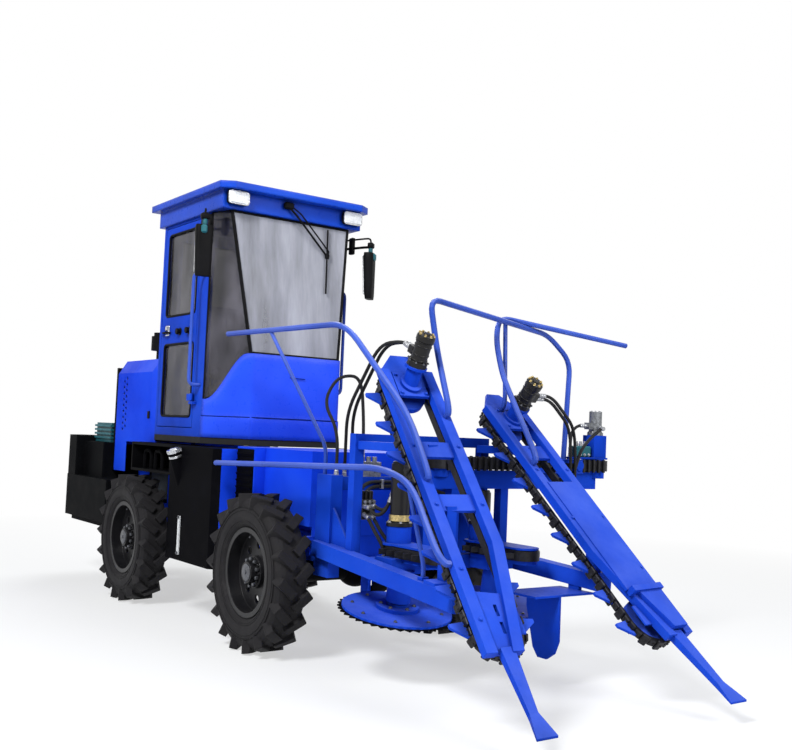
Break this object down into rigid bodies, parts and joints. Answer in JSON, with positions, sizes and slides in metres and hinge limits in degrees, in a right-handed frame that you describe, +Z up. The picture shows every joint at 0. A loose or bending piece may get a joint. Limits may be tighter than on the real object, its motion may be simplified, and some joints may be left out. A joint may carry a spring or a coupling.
{
  "type": "wheeled sugarcane harvester",
  "caption": "Wheeled sugarcane harvester with an enclosed cab, inclined paddle-chain crop dividers, base cutters and a side conveyor on a lifting header.",
  "frame": {"origin": "on the ground under the middle of the overall box", "axes": "+X forward along the machine, +Y to its left, +Z up"},
  "size_m": [6.26, 2.22, 3.08],
  "materials": {
    "black_paint": "satin black paint",
    "blue_paint": "semi-gloss paint",
    "blued_roof": "gloss moulding",
    "cast": "black painted casting",
    "cooler": "painted fins",
    "engine": "matt paint on a casting",
    "glass": "clear glass",
    "lamp": "lamp lens",
    "mat": "rubber floor",
    "rubber": "matt rubber",
    "seat": "seat cover",
    "steel": "bare steel",
    "tank": "moulded tank",
    "trim": "moulded trim",
    "tyre": "tread rubber"
  },
  "bodies": {
    "chassis": {"main_frame": "blue_paint", "front_axle": "black_paint", "rear_axle": "black_paint", "engine_block": "engine", "hood": "blue_paint", "radiator_grille": "trim", "precleaner": "trim", "counterweight": "cast", "oil_cooler": "cooler", "fuel_tank": "tank", "oil_tank": "tank", "step_box": "black_paint", "front_housing": "blue_paint", "cab_floor": "mat", "cab_right": "blue_paint", "cab_left": "blue_paint", "cab_back": "blue_paint", "cab_cowl": "blue_paint", "cab_roof": "blued_roof", "windshield": "glass", "side_glass": "glass", "seat": "seat", "steering_column": "trim", "mirrors": "trim", "work_lamps": "lamp", "wiper": "trim", "grab_rails": "blue_paint"},
    "door": {"door_frame": "blue_paint", "door_glass": "glass"},
    "header": {"header_frame": "blue_paint", "right_divider": "blue_paint", "left_divider": "blue_paint", "divider_chains": "black_paint", "divider_motors": "black_paint", "guide_rails": "blue_paint", "cutter_drive": "blue_paint", "feed_motors": "black_paint", "feed_chains": "black_paint", "conveyor": "blue_paint", "conveyor_motor": "steel", "conveyor_chain": "black_paint", "valve_block": "steel", "hoses": "rubber"},
    "right_cutter": {"right_cutter": "blue_paint"},
    "left_cutter": {"left_cutter": "blue_paint"},
    "front_left_wheel": {"front_left_tyre": "tyre", "front_left_rim": "black_paint"},
    "front_right_wheel": {"front_right_tyre": "tyre", "front_right_rim": "black_paint"},
    "rear_left_wheel": {"rear_left_tyre": "tyre", "rear_left_rim": "black_paint"},
    "rear_right_wheel": {"rear_right_tyre": "tyre", "rear_right_rim": "black_paint"},
    "left_knuckle": {"left_knuckle": "black_paint"},
    "right_knuckle": {"right_knuckle": "black_paint"},
    "tie_rod": {"tie_rod": "steel"},
    "lift_barrel": {"lift_barrel": "black_paint"},
    "lift_rod": {"lift_rod": "steel"}
  },
  "joints": [
    {"name": "front_left_spin", "type": "hinge", "parent": "chassis", "child": "front_left_wheel", "pos_m": [0.669, 0.40375, 0.475], "axis": [0, 1, 0], "continuous": true},
    {"name": "front_right_spin", "type": "hinge", "parent": "chassis", "child": "front_right_wheel", "pos_m": [0.669, -1.01625, 0.475], "axis": [0, 1, 0], "continuous": true},
    {"name": "left_steer", "type": "hinge", "parent": "chassis", "child": "left_knuckle", "pos_m": [-1.351, 0.23375, 0.475], "axis": [0, 0, 1], "range_deg": [-28, 28]},
    {"name": "right_steer", "type": "hinge", "parent": "chassis", "child": "right_knuckle", "pos_m": [-1.351, -0.84625, 0.475], "axis": [0, 0, 1], "range_deg": [-28, 28]},
    {"name": "tie_rod_turn", "type": "hinge", "parent": "left_knuckle", "child": "tie_rod", "pos_m": [-1.531, 0.23375, 0.363], "axis": [0, 0, 1], "range_deg": [-28, 28]},
    {"name": "rear_left_spin", "type": "hinge", "parent": "left_knuckle", "child": "rear_left_wheel", "pos_m": [-1.351, 0.40375, 0.475], "axis": [0, 1, 0], "continuous": true},
    {"name": "rear_right_spin", "type": "hinge", "parent": "right_knuckle", "child": "rear_right_wheel", "pos_m": [-1.351, -1.01625, 0.475], "axis": [0, 1, 0], "continuous": true},
    {"name": "header_lift", "type": "hinge", "parent": "chassis", "child": "header", "pos_m": [0.909, -0.30625, 0.62], "axis": [0, -1, 0], "range_deg": [-3, 10]},
    {"name": "right_cutter_spin", "type": "hinge", "parent": "header", "child": "right_cutter", "pos_m": [1.614, -0.64825, 0.37], "axis": [0.1564, 0, 0.9877], "continuous": true},
    {"name": "left_cutter_spin", "type": "hinge", "parent": "header", "child": "left_cutter", "pos_m": [1.614, 0.03575, 0.37], "axis": [0.1564, 0, 0.9877], "continuous": true},
    {"name": "door_hinge", "type": "hinge", "parent": "chassis", "child": "door", "pos_m": [-0.716, -0.88625, 2.1], "axis": [0, 0, 1], "range_deg": [0, 80]},
    {"name": "lift_barrel_turn", "type": "hinge", "parent": "chassis", "child": "lift_barrel", "pos_m": [0.869, -0.30625, 0.35], "axis": [0, -1, 0], "range_deg": [-2.4, 7.5]},
    {"name": "lift_rod_slide", "type": "slide", "parent": "lift_barrel", "child": "lift_rod", "axis": [0.908, 0, 0.4191], "range_m": [-0.0125, 0.0395]}
  ],
  "couplings": [
    {"joint": "right_steer", "follows": "left_steer", "ratio": 1},
    {"joint": "tie_rod_turn", "follows": "left_steer", "ratio": -1},
    {"joint": "lift_barrel_turn", "follows": "header_lift", "ratio": 0.724},
    {"joint": "lift_rod_slide", "follows": "header_lift", "m_per_rad": 0.2185}
  ]
}
